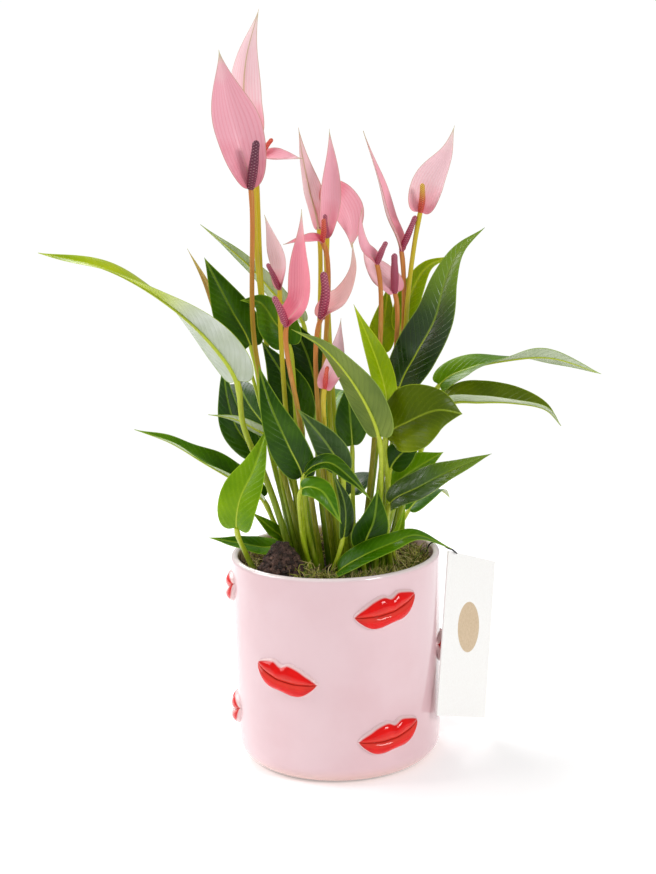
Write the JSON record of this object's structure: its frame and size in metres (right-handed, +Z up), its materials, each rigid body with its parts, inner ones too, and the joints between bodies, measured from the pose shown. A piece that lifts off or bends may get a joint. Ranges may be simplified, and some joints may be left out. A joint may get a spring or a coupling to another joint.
{
  "type": "potted anthurium",
  "caption": "Flowering anthurium in a round glazed cover pot with raised lips, a blank card hung over the rim on an elastic string.",
  "frame": {"origin": "centre of the pot's flat base, on the surface it stands on", "axes": "+Z up along the pot's axis; -Y towards the front, where the plant faces; +X to the right seen from the front"},
  "size_m": [0.3462, 0.2196, 0.4752],
  "materials": {
    "glaze": "pale pink glazed ceramic with glossy red raised lips",
    "grow_pot_plastic": "black polypropylene",
    "soil": "damp peat potting soil, rough",
    "moss": "dry olive and brown moss",
    "card": "uncoated white card with a tan disc",
    "elastic": "black round elastic",
    "leaf": "dark green waxy leaf, satin gloss",
    "young_leaf": "bright yellow-green young leaf",
    "flower": "pink spathe, waxy, on an orange-brown stalk"
  },
  "bodies": {
    "root": {"card_string": "elastic", "ceramic_pot": "glaze", "flower_centre": "flower", "flower_drooping": "flower", "flower_front_left": "flower", "flower_inner_right": "flower", "flower_low_young": "flower", "flower_narrow_right": "flower", "flower_pale_centre": "flower", "flower_pale_left": "flower", "flower_pale_right": "flower", "flower_tall_behind": "flower", "flower_tall_centre": "flower", "flower_tall_left": "flower", "flower_tall_right": "flower", "flower_young_centre": "flower", "flower_young_left": "flower", "gift_card": "card", "grow_pot": "grow_pot_plastic", "leaf_arching_centre": "leaf", "leaf_arching_front": "leaf", "leaf_back_centre": "leaf", "leaf_back_left": "leaf", "leaf_back_low": "leaf", "leaf_back_low_right": "leaf", "leaf_back_right": "leaf", "leaf_bright_low_left": "young_leaf", "leaf_bright_right": "young_leaf", "leaf_curled_left": "leaf", "leaf_dark_left": "leaf", "leaf_drooping_left": "leaf", "leaf_far_right": "leaf", "leaf_folded_centre": "young_leaf", "leaf_front_left": "leaf", "leaf_front_right": "leaf", "leaf_glossy_right": "leaf", "leaf_hanging_front": "leaf", "leaf_high_right": "leaf", "leaf_inner_centre": "leaf", "leaf_inner_far_left": "leaf", "leaf_inner_left": "leaf", "leaf_inner_right": "young_leaf", "leaf_long_left": "young_leaf", "leaf_low_right": "leaf", "leaf_narrow_front": "leaf", "leaf_on_moss": "leaf", "leaf_over_rim_left": "young_leaf", "leaf_pale_behind": "young_leaf", "leaf_pale_low_right": "young_leaf", "leaf_round_right": "leaf", "leaf_slate_centre": "leaf", "leaf_small_left": "leaf", "leaf_tiny_left": "young_leaf", "leaf_tiny_right": "young_leaf", "leaf_under_round": "leaf", "leaf_upright_left": "leaf", "leaf_young_left": "young_leaf", "moss_left": "moss", "moss_right": "moss", "potting_soil": "soil"}
  },
  "joints": []
}
